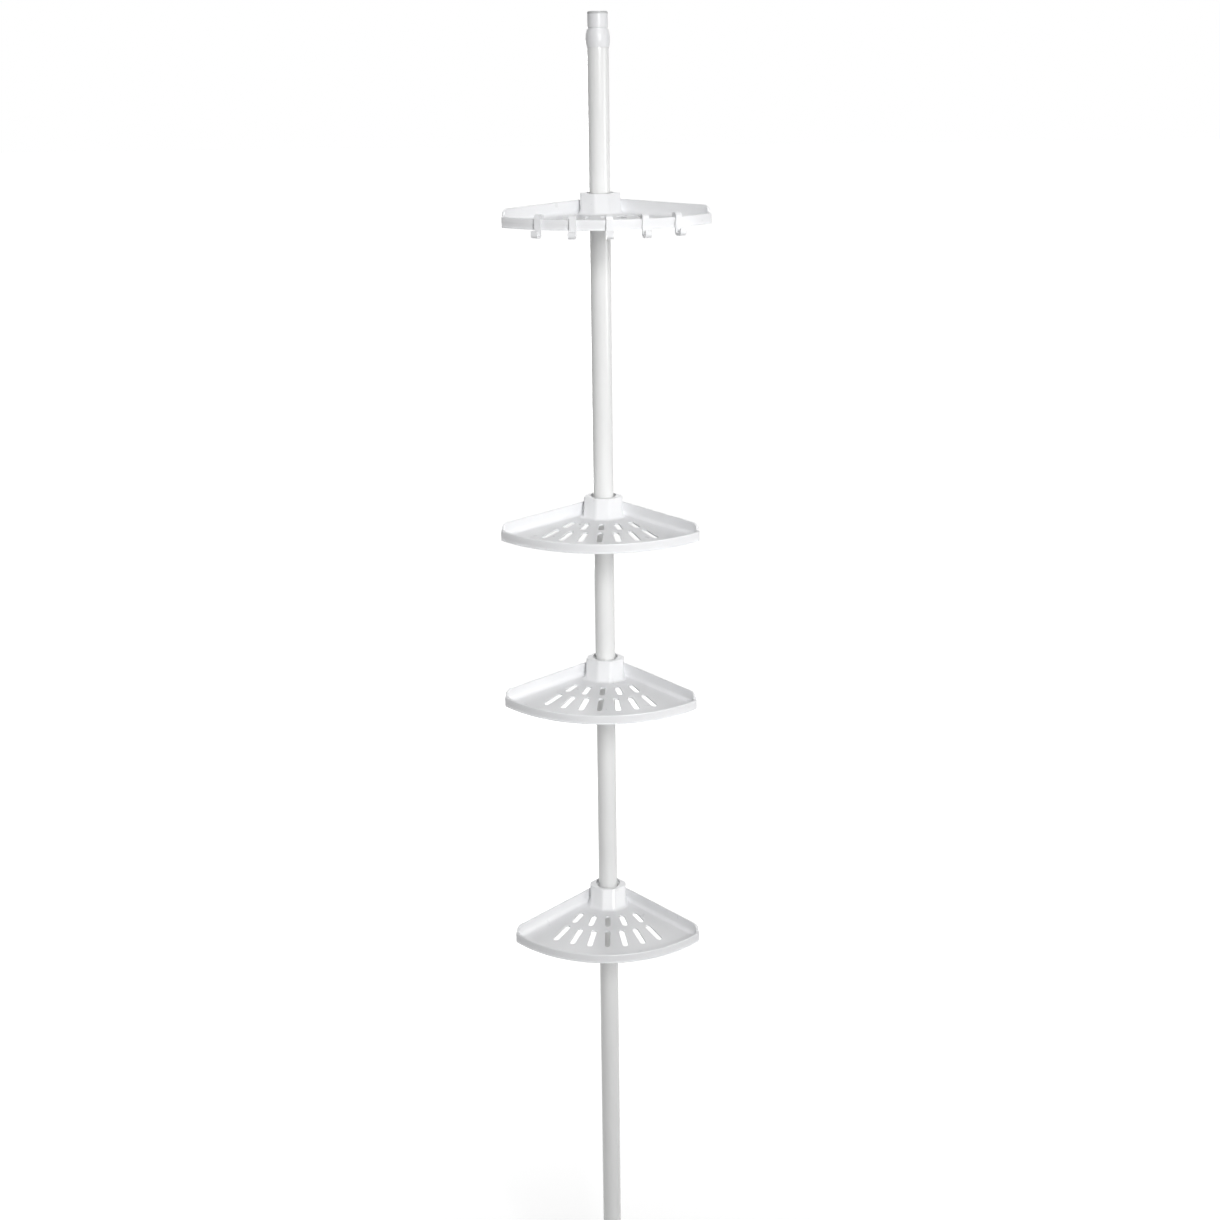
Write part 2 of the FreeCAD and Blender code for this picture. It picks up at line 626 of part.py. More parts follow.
def is_upright_at(edge, x):
    start, end = edge.Vertexes[0].Point, edge.Vertexes[-1].Point
    upright = abs(start.x - end.x) < 1e-3 and abs(start.y - end.y) < 1e-3
    return upright and abs(abs(start.x) - x) < 1e-2


def lies_at(edge, height):
    """Whether the whole edge lies level at that height."""
    box = edge.BoundBox
    return abs(box.ZMin - height) < 1e-3 and abs(box.ZMax - height) < 1e-3


def is_level_corner(edge, corners):
    """Whether an edge runs along X through one of the (y, z) corners."""
    box = edge.BoundBox
    if box.YLength > 1e-3 or box.ZLength > 1e-3:
        return False
    return any(abs(box.YMin - y) < 1e-3 and abs(box.ZMin - z) < 1e-3 for y, z in corners)


def draw_slot(sketch, start, length):
    """A round-ended slot that runs towards -Y."""
    half = "( slot_width / 2 )"
    near = f"( 0 - fan_centre - {start} - {half} )"
    far = f"( 0 - fan_centre - {start} - {length} + {half} )"
    draw_loop(sketch, ((half, near), (f"( 0 - {half} )", near), (f"( 0 - {half} )", far), (half, far)),
              {0: (half, "0", near), 2: (half, "0", far)})


def fan_step(start, length):
    """The angle between neighbouring slots of a row that lie one pitch apart."""
    return f"( slot_pitch / ( fan_centre + {start} + {length} / 2 ) * 180 / pi )"


def make_slots(body, name, start, length, count):
    """A row of slots that fan out from a point behind the pole, cut from one end of the row."""
    step = fan_step(start, length)
    sketch = new_sketch(body, name, "XY_Plane", FLOOR_TOP)
    draw_slot(sketch, start, length)
    sketch.setExpression("AttachmentOffset.Base.y", text("fan_centre"))
    sketch.setExpression("AttachmentOffset.Rotation.Angle", text(f"( 0 - {step} * {(count - 1) / 2} )"))
    cut = pocket(body, sketch, f"{name}_cut", FLOOR_TOP)
    made = feature(body, "PolarPattern", f"{name}_row")
    made.Originals = [cut]
    made.Axis = (sketch, ["N_Axis"])
    made.Occurrences = count
    made.setExpression("Angle", text(f"( {step} * {count - 1} )"))
    body.Tip = made
    doc.recompute()


def make_shell(body):
    """The quarter-round box: block, rounded corners, hollows above and below the floor."""
    outline = new_sketch(body, "outline", "XY_Plane")
    draw_round_backed_quarter(outline)
    pad(body, outline, "block", "wall_height")
    doc.recompute()
    round_edges(body, "corners", "corner_radius", lambda edge: is_upright_at(edge, value(OUTER_CORNER_X)))
    for name, height, depth, upwards in (
            ("hollow", "wall_height", f"( wall_height - {FLOOR_TOP} )", False),
            ("underside", "0", "floor_rise", True)):
        sketch = new_sketch(body, name, "XY_Plane", height)
        draw_quarter(sketch, INNER_VERTEX, INNER_CORNER_X, INNER_CORNER_Y, INNER_BOW_RADIUS)
        pocket(body, sketch, f"{name}_cut", depth, upwards)
        cut_height = value(height)
        round_edges(body, f"{name}_corners", "inner_corner_radius",
                    lambda edge: is_upright_at(edge, value(INNER_CORNER_X))
                    and abs(edge.BoundBox.ZMax - cut_height) + abs(edge.BoundBox.ZMin - cut_height)
                    < value("wall_height"))


def lower_the_front(body):
    """Takes the front down to the rim's height; each back wall ends in a cove and a rounded corner."""
    front = new_sketch(body, "front", "YZ_Plane")
    beyond = "( 0 - 2 * front_depth )"
    above = "( wall_height + corner_radius )"
    cove_y = f"( {WALL_END_Y} - wall_end_cove )"
    cove_top = "( rim_height + wall_end_cove )"
    round_y = f"( {WALL_END_Y} + wall_end_round )"
    round_foot = "( wall_height - wall_end_round )"
    draw_loop(front, (
        (beyond, "rim_height"),
        (cove_y, "rim_height"),
        (WALL_END_Y, cove_top),
        (WALL_END_Y, round_foot),
        (round_y, "wall_height"),
        (round_y, above),
        (beyond, above),
    ), {1: ("wall_end_cove", cove_y, cove_top), 3: ("( 0 - wall_end_round )", round_y, round_foot)})
    pocket(body, front, "front_cut", "( 4 * front_depth )", midplane=True)
    doc.recompute()


def step_the_rim(body):
    """Sets the rim's face back between its bead and its foot."""
    section = new_sketch(body, "rim_face", "YZ_Plane")
    section.setExpression("AttachmentOffset.Base.x", text(BOW_CENTRE))
    face = "( 0 - front_radius + rim_step )"
    beyond = "( 0 - front_radius - corner_radius )"
    draw_loop(section, ((face, "rim_foot"), (beyond, "rim_foot"),
                        (beyond, "( rim_height - rim_bead )"), (face, "( rim_height - rim_bead )")))
    before = body.Tip.Shape.Volume
    groove = feature(body, "Groove", "rim_face_cut")
    groove.Profile = section
    groove.ReferenceAxis = (section, ["V_Axis"])
    groove.Angle = 360
    doc.recompute()
    if groove.Shape.Volume >= before:
        raise ValueError(f"{groove.Name} cuts nothing")


def draw_boss_front(sketch, slope, inset="0"):
    """The faceted half of the boss in front of the pole's axis, moved forward by slope."""
    half_width = f"( boss_half_width - {inset} )"
    facet_back = f"( 0 - boss_facet_back - {slope} + {inset} / 2 )"
    front_half = f"( boss_front_half - {inset} / 3 )"
    front = f"( 0 - boss_front - {slope} + {inset} )"
    draw_loop(sketch, (
        (half_width, "0"),
        (f"( 0 - {half_width} )", "0"),
        (f"( 0 - {half_width} )", facet_back),
        (f"( 0 - {front_half} )", front),
        (front_half, front),
        (half_width, facet_back),
    ))


def loft_boss_front(body, kind, name, inset="0"):
    """Adds the boss's sloping front, or cuts the same shape out from below, inset and lowered by its skin."""
    foot = new_sketch(body, f"{name}_foot", "XY_Plane", f"( floor_rise - {inset} )")
    draw_boss_front(foot, "boss_slope", inset)
    top = new_sketch(body, f"{name}_top", "XY_Plane", f"( boss_height - {inset} )")
    draw_boss_front(top, "0", inset)
    loft = feature(body, kind, name)
    loft.Profile = foot
    loft.Sections = [top]
    loft.Ruled = True
    doc.recompute()


def add_boss(body):
    """The boss in the back corner: a solid back along the walls, a faceted front down to the floor."""
    touch = f"( {BOSS_RADIUS} / sqrt( 2 ) )"
    side_y = f"( {OUTER_VERTEX} - boss_half_width )"
    sketch = new_sketch(body, "boss", "XY_Plane")
    draw_loop(sketch, (
        (touch, touch),
        (f"( 0 - {touch} )", touch),
        ("( 0 - boss_half_width )", side_y),
        ("( 0 - boss_half_width )", "0"),
        ("boss_half_width", "0"),
        ("boss_half_width", side_y),
    ), {0: (BOSS_RADIUS, "0", "0")})
    pad(body, sketch, "boss_block", "boss_height")
    doc.recompute()
    loft_boss_front(body, "AdditiveLoft", "boss_front")


def hollow_the_boss(body):
    """Leaves a skin of the boss's front, and a ring round the bore inside it."""
    before = body.Tip.Shape.Volume
    loft_boss_front(body, "SubtractiveLoft", "boss_hollow", "boss_skin")
    if body.Tip.Shape.Volume >= before:
        raise ValueError("boss_hollow cuts nothing")
    ring = new_sketch(body, "ring", "XY_Plane")
    draw_circle(ring, "0", "0", BOSS_RADIUS)
    pad(body, ring, "bore_ring", "( boss_height - boss_skin / 2 )")
    doc.recompute()


def bore_the_boss(body):
    """The tapered bore for the wedge sleeve and the open ring above it."""
    section = new_sketch(body, "bore", "XZ_Plane")
    draw_loop(section, (
        ("0", "( 0 - corner_radius )"),
        (BOSS_BORE_FOOT, "( 0 - corner_radius )"),
        (BOSS_BORE_FOOT, "0"),
        (BOSS_BORE_TOP, SLEEVE_HEIGHT),
        ("boss_mouth", SLEEVE_HEIGHT),
        ("boss_mouth", "( boss_height + corner_radius )"),
        ("0", "( boss_height + corner_radius )"),
    ))
    groove = feature(body, "Groove", "bore_cut")
    groove.Profile = section
    groove.ReferenceAxis = (section, ["V_Axis"])
    groove.Angle = 360
    doc.recompute()


def add_ribs(body):
    """Ribs under the floor, from the bore's ring to the rim, between the slots."""
    half = "( rib_thickness / 2 )"
    far = f"( 0 - {INNER_BOW_RADIUS} - rim_thickness / 2 )"
    ring = f"( {BOSS_RADIUS} - boss_wall / 2 )"
    for number, angle in enumerate(RIB_ANGLES, start=1):
        across = f"( {BOW_CENTRE} * sin({angle} ) )"
        near = f"( 0 - {BOW_CENTRE} * cos({angle} ) - sqrt( {ring} * {ring} - {across} * {across} ) )"
        sketch = new_sketch(body, f"rib_{number}", "XY_Plane")
        draw_loop(sketch, ((half, near), (f"( 0 - {half} )", near), (f"( 0 - {half} )", far), (half, far)))
        sketch.setExpression("AttachmentOffset.Base.y", text(BOW_CENTRE))
        sketch.setExpression("AttachmentOffset.Rotation.Angle", str(angle))
        pad(body, sketch, f"rib_bar_{number}", "floor_rise")
    doc.recompute()


def round_the_top(body):
    """Softens the upper edges of the walls and the rim; each runs on from the bow in one smooth line."""
    bows = (value("front_radius"), value(INNER_BOW_RADIUS))
    height = value("rim_height")
    round_edges(body, "top_edges", "edge_round", lambda edge: any(is_ring(edge, bow, height) for bow in bows))


def is_boss_corner(edge, x):
    """Whether an edge is one of the two sloping ones of the boss's front at that distance from its middle."""
    box = edge.BoundBox
    slopes = box.XLength < 1e-3 and box.YLength > 1 and box.ZLength > value("boss_height") / 2
    return slopes and abs(abs(box.XMin) - x) < 1e-2


def round_the_boss(body):
    """Softens the boss's sloping corners and its top, and coves the floor all round."""
    top, floor = value("boss_height"), value(FLOOR_TOP)
    for name, x, radius in (("boss_side_edges", value("boss_half_width"), "boss_side_round"),
                            ("boss_facet_edges", value("boss_front_half"), "boss_facet_round")):
        round_edges(body, name, radius, lambda edge: is_boss_corner(edge, x))
    round_edges(body, "floor_coves", "floor_cove", lambda edge: lies_at(edge, floor))
    round_edges(body, "boss_top", "boss_round", lambda edge: lies_at(edge, top))


def make_tray(number):
    """A moulded quarter-round tray: back walls, low bowed rim, boss, drain slots and ribs."""
    body = new_body(f"tray_{number}")
    make_shell(body)
    lower_the_front(body)
    round_the_top(body)
    step_the_rim(body)
    add_boss(body)
    round_the_boss(body)
    hollow_the_boss(body)
    add_ribs(body)
    make_slots(body, "inner_slot", "inner_slot_start", "inner_slot_length", INNER_SLOTS)
    make_slots(body, "outer_slot", "outer_slot_start", "outer_slot_length", OUTER_SLOTS)
    bore_the_boss(body)
    place(body, f"( total_height - tray_drop_{number} )", f"tray_turn_{number}")


# ---------------------------------------------------------------- wedge sleeves
def make_sleeve_half(number, side, turn):
    """Half of a split cone that the tray's weight wedges between its bore and the pole."""
    flange_top = "( 0 - seat_clearance )"
    flange_bottom = f"( {flange_top} - sleeve_flange )"
    flange = f"( {SLEEVE_FOOT_RADIUS} + sleeve_flange_rise )"
    body = turned(f"sleeve_{number}_{side}", (
        (SLEEVE_BORE, flange_bottom),
        (flange, flange_bottom),
        (flange, flange_top),
        (SLEEVE_FOOT_RADIUS, flange_top),
        (SLEEVE_TOP_RADIUS, SLEEVE_HEIGHT),
        (SLEEVE_BORE, SLEEVE_HEIGHT),
    ), spread="( 180 - sleeve_split )")
    place(body, f"( total_height - tray_drop_{number} )", f"( tray_turn_{number} + {turn} )")


# ---------------------------------------------------------------- hooks
def make_hook(place_number):
    """A clip over the rim with a curl in front, drawn about the bow's centre."""
    body = new_body(f"hook_{HOOK_PLACES.index(place_number) + 1}")
    section = new_sketch(body, "section", "YZ_Plane")
    back = "( 0 - front_radius + rim_thickness + hook_clearance )"
    inner = f"( {back} + hook_thickness )"
    face = "( 0 - front_radius - hook_clearance )"
    front = f"( {face} - hook_thickness )"
    under = "( rim_height + hook_clearance )"
    top = "( rim_height + hook_crown )"
    leg_end = "( rim_height - hook_inner_leg )"
    low = "( 0 - hook_drop )"
    trough = f"( {low} + hook_thickness )"
    tip_back = f"( {front} - hook_gap )"
    tip_front = f"( {tip_back} - hook_thickness )"
    tip_top = f"( {low} + hook_tip )"
    draw_loop(section, (
        (inner, top), (front, top), (front, trough), (tip_back, trough), (tip_back, tip_top),
        (tip_front, tip_top), (tip_front, low), (face, low), (face, under), (back, under),
        (back, leg_end), (inner, leg_end),
    ))
    pad(body, section, "clip", "hook_width", midplane=True)
    doc.recompute()
    curl = "( hook_thickness * 1.6 )"
    outer_corners = {(value(tip_front), value(low)), (value(face), value(low)),
                     (value(inner), value(top)), (value(front), value(top))}
    round_edges(body, "bends", curl, lambda edge: is_level_corner(edge, outer_corners))
    trough_corners = {(value(front), value(trough)), (value(tip_back), value(trough))}
    round_edges(body, "trough", "( hook_thickness * 0.9 )",
                lambda edge: is_level_corner(edge, trough_corners))
    turn = f"( tray_turn_1 + hook_offset + {place_number} * hook_angle )"
    place(body, "( total_height - tray_drop_1 )", turn,
          f"( 0 - {BOW_CENTRE} * sin(tray_turn_1 ) )", f"( {BOW_CENTRE} * cos(tray_turn_1 ) )")


for number in TRAY_NUMBERS:
    make_tray(number)
    for side, turn in (("front", -90), ("back", 90)):
        make_sleeve_half(number, side, turn)
for place_number in HOOK_PLACES:
    make_hook(place_number)


def node_objects():
    """The finished sub-parts: every body, and the spring."""
    bodies = [part for part in doc.Objects if part.TypeId == "PartDesign::Body"]
    return bodies + [doc.getObject("tension_spring")]


doc.recompute()
for part in doc.Objects:
    if "Invalid" in part.State or "Error" in part.State:
        raise ValueError(f"{part.Label} is {part.State}")
os.makedirs("parts", exist_ok=True)
for part in node_objects():
    if part.Shape.isNull() or not part.Shape.isValid():
        raise ValueError(f"{part.Label} has no valid shape")
    part.Shape.exportStep(f"parts/{part.Label}.step")
    print(f"{part.Label}: {len(part.Shape.Solids)} solid, {part.Shape.Volume:.0f} mm3")
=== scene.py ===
# %% [markdown]
# # A tension pole shelf unit, dressed for its picture
#
# The shelf unit is a white tube pole that a spring presses upright between a floor and a ceiling.
# Four quarter-round trays hang on it, each held by two wedge halves, and five hooks clip over the
# rim of the top tray. The shapes come ready from the CAD model, and all but one are right as they
# are, because every piece is a plain moulded or drawn one. So this lesson is mostly about finish
# and light: how five white and grey materials are told apart, and how a white object stays readable
# on white. The one piece made here is the spring in the head, because it has to change its length.

# %% Load the shelf unit
import json
import math

import bmesh
import bpy
from mathutils import Matrix, Vector


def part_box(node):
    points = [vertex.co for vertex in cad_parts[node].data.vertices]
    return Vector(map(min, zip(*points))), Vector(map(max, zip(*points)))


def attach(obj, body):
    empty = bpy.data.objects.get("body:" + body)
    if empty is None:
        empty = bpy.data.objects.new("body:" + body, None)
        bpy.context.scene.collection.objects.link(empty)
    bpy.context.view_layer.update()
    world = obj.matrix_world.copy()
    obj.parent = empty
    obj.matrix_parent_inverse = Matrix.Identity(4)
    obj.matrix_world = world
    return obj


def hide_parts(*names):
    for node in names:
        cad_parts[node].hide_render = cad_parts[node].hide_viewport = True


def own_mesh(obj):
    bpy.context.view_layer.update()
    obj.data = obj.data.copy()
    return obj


bpy.context.scene.view_settings.view_transform = "Standard"
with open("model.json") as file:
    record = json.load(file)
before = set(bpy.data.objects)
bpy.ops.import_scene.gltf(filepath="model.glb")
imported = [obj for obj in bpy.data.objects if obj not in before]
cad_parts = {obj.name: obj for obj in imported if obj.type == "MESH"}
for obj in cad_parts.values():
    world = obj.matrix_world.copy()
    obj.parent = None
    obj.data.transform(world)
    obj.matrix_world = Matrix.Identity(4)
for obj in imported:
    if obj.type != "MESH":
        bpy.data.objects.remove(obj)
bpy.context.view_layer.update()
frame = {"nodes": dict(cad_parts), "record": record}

# %% [markdown]
# ## The camera
#
# The camera stands two metres in front of the pole, about as high as its top, and looks down.
# A lens of 45 mm on a 36 mm sensor takes in the pole from its head to about a quarter of a metre
# above the floor. The frame is shifted a little downwards instead of tilting the camera further,
# so the pole keeps its upright lines. Building the pose from matrices, and not from three angles,
# keeps the tilt and the small roll apart: the roll turns the camera about its own line of sight.

# %% Place the camera
CAMERA_PLACE = Vector((0.0088, -1.9556, 2.012))
CAMERA_TILT = math.radians(90 - 16.64)
CAMERA_ROLL = math.radians(-0.63)
LENS, SENSOR_WIDTH = 45.14, 36
SHIFT_DOWN = -0.0896
FARTHEST_SEEN = 100

camera_data = bpy.data.cameras.new("shelf_camera")
camera_data.lens = LENS
camera_data.sensor_width = SENSOR_WIDTH
camera_data.sensor_fit = "HORIZONTAL"
camera_data.shift_y = SHIFT_DOWN
camera_data.clip_end = FARTHEST_SEEN
camera = bpy.data.objects.new("shelf_camera", camera_data)
camera.matrix_world = (Matrix.Translation(CAMERA_PLACE) @ Matrix.Rotation(CAMERA_TILT, 4, "X")
                       @ Matrix.Rotation(CAMERA_ROLL, 4, "Z"))
bpy.context.collection.objects.link(camera)
bpy.context.scene.camera = camera
print("camera to pole:", round(-CAMERA_PLACE.y, 2), "m")

# %% [markdown]
# ## Small helpers for materials
#
# Each finish below is a short chain of nodes, made one by one so that every number has a reason.
# All textures read Object coordinates. Here they are metres in the shelf unit's own frame, so a
# noise of scale 400 has grains of 2.5 mm on every piece, large or small.

# %% Helpers that start a material and add nodes
def new_finish(name, roughness=0.5):
    """A material with its principled shader, and the texture coordinates ready."""
    finish = bpy.data.materials.new(name)
    finish.use_nodes = True
    nodes = finish.node_tree.nodes
    shader = nodes["Principled BSDF"]
    shader.inputs["Roughness"].default_value = roughness
    coordinates = nodes.new("ShaderNodeTexCoord")
    return finish, shader, coordinates.outputs["Object"]


def add_node(finish, kind, **settings):
    """A new node; the settings are its own properties or the values of its inputs."""
    node = finish.node_tree.nodes.new(kind)
    for name, value in settings.items():
        title = name.replace("_", " ").title()
        if hasattr(node, name):
            setattr(node, name, value)
        else:
            node.inputs[title].default_value = value
    return node


def join(finish, start, end):
    finish.node_tree.links.new(start, end)


# %% Helpers for grain, tint and bump
NOISE_LOW, NOISE_HIGH = 0.3, 0.7


def grain(finish, place, scale, detail, stretch=(1, 1, 1)):
    """A noise over the surface; stretch squeezes it along an axis."""
    mapping = add_node(finish, "ShaderNodeMapping")
    mapping.inputs["Scale"].default_value = stretch
    noise = add_node(finish, "ShaderNodeTexNoise", scale=scale, detail=detail)
    join(finish, place, mapping.inputs["Vector"])
    join(finish, mapping.outputs["Vector"], noise.inputs["Vector"])
    return noise.outputs["Fac"]


def between(finish, factor, low, high):
    """Turns a noise, which stays near its middle, into a number from low to high."""
    spread = add_node(finish, "ShaderNodeMapRange", from_min=NOISE_LOW, from_max=NOISE_HIGH,
                      to_min=low, to_max=high)
    join(finish, factor, spread.inputs["Value"])
    return spread.outputs["Result"]


def tint(finish, factor, dark, light):
    """A colour that wanders between two close tones."""
    ramp = add_node(finish, "ShaderNodeValToRGB")
    ramp.color_ramp.elements[0].position = NOISE_LOW
    ramp.color_ramp.elements[0].color = (*dark, 1)
    ramp.color_ramp.elements[1].position = NOISE_HIGH
    ramp.color_ramp.elements[1].color = (*light, 1)
    join(finish, factor, ramp.inputs["Fac"])
    return ramp.outputs["Color"]


def bump(finish, height, depth, strength, under=None):
    """Raises the surface by depth metres where height is 1, on top of the bump under it."""
    node = add_node(finish, "ShaderNodeBump", strength=strength, distance=depth)
    join(finish, height, node.inputs["Height"])
    if under is not None:
        join(finish, under, node.inputs["Normal"])
    return node.outputs["Normal"]


print("helpers ready")

# %% [markdown]
# ## White moulded plastic for the trays and hooks
#
# The trays are moulded in a white styrene with a soft gloss. A real moulding is never quite even:
# the gloss changes in slow clouds where the melt cooled faster, and the skin has a very fine
# texture that only shows where a light grazes it. So the tint and the roughness each follow a slow
# noise of their own, and two bumps lie on each other: shallow sink marks some 3 cm wide, and the
# fine skin.

# %% Make the tray plastic
def make_tray_plastic():
    finish, shader, place = new_finish("white_tray_plastic")
    clouds = grain(finish, place, scale=14, detail=3)
    patches = grain(finish, place, scale=45, detail=4)
    swells = grain(finish, place, scale=30, detail=1)
    skin = grain(finish, place, scale=900, detail=2)
    white = tint(finish, clouds, dark=(0.860, 0.866, 0.880), light=(0.890, 0.894, 0.904))
    sink_marks = bump(finish, swells, depth=0.0004, strength=0.35)
    skin_on_marks = bump(finish, skin, depth=0.00006, strength=0.5, under=sink_marks)
    join(finish, white, shader.inputs["Base Color"])
    join(finish, between(finish, patches, low=0.27, high=0.38), shader.inputs["Roughness"])
    join(finish, skin_on_marks, shader.inputs["Normal"])
    shader.inputs["IOR"].default_value = 1.55
    shader.inputs["Coat Weight"].default_value = 0.15
    shader.inputs["Coat Roughness"].default_value = 0.12
    return finish


tray_plastic = make_tray_plastic()
print("made", tray_plastic.name)

# %% [markdown]
# ## Baked enamel for the pole
#
# The pole is thin steel tube under a baked white coat. The coat is glossier than the plastic, and
# it has orange peel: soft dimples a few millimetres wide that make a long reflection shimmer. The
# dimples are a few hundredths of a millimetre deep and stretched a little along the tube, as the
# coat ran while it was wet.

# %% Make the tube's enamel
def make_tube_enamel():
    finish, shader, place = new_finish("white_tube_enamel")
    runs = grain(finish, place, scale=60, detail=3, stretch=(1, 1, 0.08))
    peel = grain(finish, place, scale=420, detail=1, stretch=(1, 1, 0.6))
    white = tint(finish, runs, dark=(0.880, 0.884, 0.878), light=(0.905, 0.908, 0.900))
    join(finish, white, shader.inputs["Base Color"])
    join(finish, between(finish, runs, low=0.12, high=0.20), shader.inputs["Roughness"])
    join(finish, bump(finish, peel, depth=0.00012, strength=0.35), shader.inputs["Normal"])
    shader.inputs["IOR"].default_value = 1.5
    shader.inputs["Coat Weight"].default_value = 0.4
    shader.inputs["Coat Roughness"].default_value = 0.06
    return finish


tube_enamel = make_tube_enamel()
print("made", tube_enamel.name)

# %% [markdown]
# ## Plain plastic, rubber and spring wire
#
# The wedge halves and the plugs inside the pole are a tougher, duller plastic, which grips better.
# The foot and the pad on the head are soft grey rubber: hardly any gloss, and dust-fine specks.
# The spring is drawn wire, so its scratches run with the wire, and its gloss breaks up in streaks.

# %% Make the wedge plastic
def make_wedge_plastic():
    finish, shader, place = new_finish("white_wedge_plastic")
    clouds = grain(finish, place, scale=20, detail=3)
    skin = grain(finish, place, scale=700, detail=3)
    white = tint(finish, clouds, dark=(0.74, 0.745, 0.74), light=(0.79, 0.795, 0.785))
    join(finish, white, shader.inputs["Base Color"])
    join(finish, between(finish, skin, low=0.48, high=0.62), shader.inputs["Roughness"])
    join(finish, bump(finish, skin, depth=0.00012, strength=0.6), shader.inputs["Normal"])
    return finish


wedge_plastic = make_wedge_plastic()
print("made", wedge_plastic.name)


# %% Make the rubber
def make_grey_rubber():
    finish, shader, place = new_finish("grey_rubber")
    specks = grain(finish, place, scale=1300, detail=2)
    smudges = grain(finish, place, scale=300, detail=4)
    grey = tint(finish, specks, dark=(0.60, 0.605, 0.61), light=(0.69, 0.695, 0.70))
    join(finish, grey, shader.inputs["Base Color"])
    join(finish, between(finish, smudges, low=0.62, high=0.85), shader.inputs["Roughness"])
    join(finish, bump(finish, specks, depth=0.0001, strength=0.7), shader.inputs["Normal"])
    shader.inputs["Specular IOR Level"].default_value = 0.35
    return finish


grey_rubber = make_grey_rubber()
print("made", grey_rubber.name)


# %% Make the spring wire
def make_spring_wire():
    finish, shader, place = new_finish("drawn_spring_wire")
    streaks = grain(finish, place, scale=1500, detail=3, stretch=(0.3, 0.3, 1.6))
    steel = tint(finish, streaks, dark=(0.50, 0.51, 0.53), light=(0.66, 0.66, 0.67))
    join(finish, steel, shader.inputs["Base Color"])
    join(finish, between(finish, streaks, low=0.24, high=0.45), shader.inputs["Roughness"])
    join(finish, bump(finish, streaks, depth=0.00003, strength=0.5), shader.inputs["Normal"])
    shader.inputs["Metallic"].default_value = 1.0
    return finish


spring_wire = make_spring_wire()
print("made", spring_wire.name)

# %% [markdown]
# ## Give each piece its finish
#
# Every CAD piece has one material slot, and the record says which finish it calls for. Assigning
# to the slot keeps the mesh as it is. The table below goes from the record's finish to ours.

# %% Assign the finishes
FINISHES = {
    "white_coated_tube": tube_enamel,
    "white_gloss_plastic": tray_plastic,
    "white_matte_plastic": wedge_plastic,
    "grey_rubber": grey_rubber,
    "spring_steel": spring_wire,
}
for subpart in frame["record"]["subparts"]:
    piece = frame["nodes"][subpart["node"]]
    for material_slot in piece.material_slots:
        material_slot.material = FINISHES[subpart["material_slot"]]

# %% [markdown]
# ## A new spring in place of the rigid one
#
# The spring stands in the top tube and pushes the head up. When the head is pressed in, the real
# spring gets shorter, but a CAD piece is rigid and its wire would come out through the pad. So a
# new wire takes its place. A small circle, the wire's section, is spun about the pole's axis and
# lifted a little at each step, which makes the helix in one operator. That leaves the faces in an
# order that changes from run to run, so they are sorted by height, with a little of x and y to
# part those that lie level.

# %% Spin the spring's wire
WIRE_DIAMETER = 0.0022
SPRING_TURNS = 9
STEPS_PER_TURN = 24
WIRE_SIDES = 12
ORDER_ALONG = Vector((0.137, 0.311, 1))

spring_low, spring_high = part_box("tension_spring")
coil_radius = spring_high[0] - WIRE_DIAMETER / 2
coil_rise = spring_high[2] - spring_low[2] - WIRE_DIAMETER
coil_steps = SPRING_TURNS * STEPS_PER_TURN

wire = bmesh.new()
bmesh.ops.create_circle(wire, cap_ends=True, segments=WIRE_SIDES, radius=WIRE_DIAMETER / 2)
bmesh.ops.rotate(wire, verts=wire.verts, cent=(0, 0, 0),
                 matrix=Matrix.Rotation(math.radians(90), 3, "X"))
bmesh.ops.translate(wire, verts=wire.verts,
                    vec=(coil_radius, 0, spring_low[2] + WIRE_DIAMETER / 2))
bmesh.ops.spin(wire, geom=wire.faces[:] + wire.edges[:] + wire.verts[:],
               cent=(0, 0, 0), axis=(0, 0, 1), dvec=(0, 0, coil_rise / coil_steps),
               angle=math.radians(360 * SPRING_TURNS), steps=coil_steps)
bmesh.ops.recalc_face_normals(wire, faces=wire.faces)
for face in wire.faces:
    face.smooth = len(face.verts) == 4
wire.verts.sort(key=lambda vert: vert.co.dot(ORDER_ALONG))
wire.faces.sort(key=lambda face: face.calc_center_median().dot(ORDER_ALONG))
print("turns:", SPRING_TURNS, "faces:", len(wire.faces))
print("coil radius in mm:", round(coil_radius * 1000, 2))

# %% Put the spring on its seat
coil_mesh = bpy.data.meshes.new("pressed_spring")
wire.to_mesh(coil_mesh)
wire.free()
coil_mesh.materials.append(spring_wire)
coil = bpy.data.objects.new("pressed_spring", coil_mesh)
bpy.context.collection.objects.link(coil)

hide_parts("tension_spring")
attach(coil, "pole")
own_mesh(coil)

# %% [markdown]
# ## Floor and background
#
# White on white needs care. The floor is a real surface, so it takes the unit's soft shadow, and a
# little glow lifts it to the white of the background. The world is white too, but it lights the
# pieces at a lower, even level. Both tricks ask the light path what kind of ray is looking: the
# camera's own rays, and those that a gloss or a glass sends on, see the white. No other ray does.

# %% Tell the rays that look from those that light
def add_looking(tree):
    """1 for a ray from the camera, a reflection or a glass, and 0 for one that gathers light."""
    rays = tree.nodes.new("ShaderNodeLightPath")
    looking = rays.outputs["Is Camera Ray"]
    for other in ("Is Glossy Ray", "Is Transmission Ray"):
        either = tree.nodes.new("ShaderNodeMath")
        either.operation = "MAXIMUM"
        tree.links.new(looking, either.inputs[0])
        tree.links.new(rays.outputs[other], either.inputs[1])
        looking = either.outputs["Value"]
    return looking


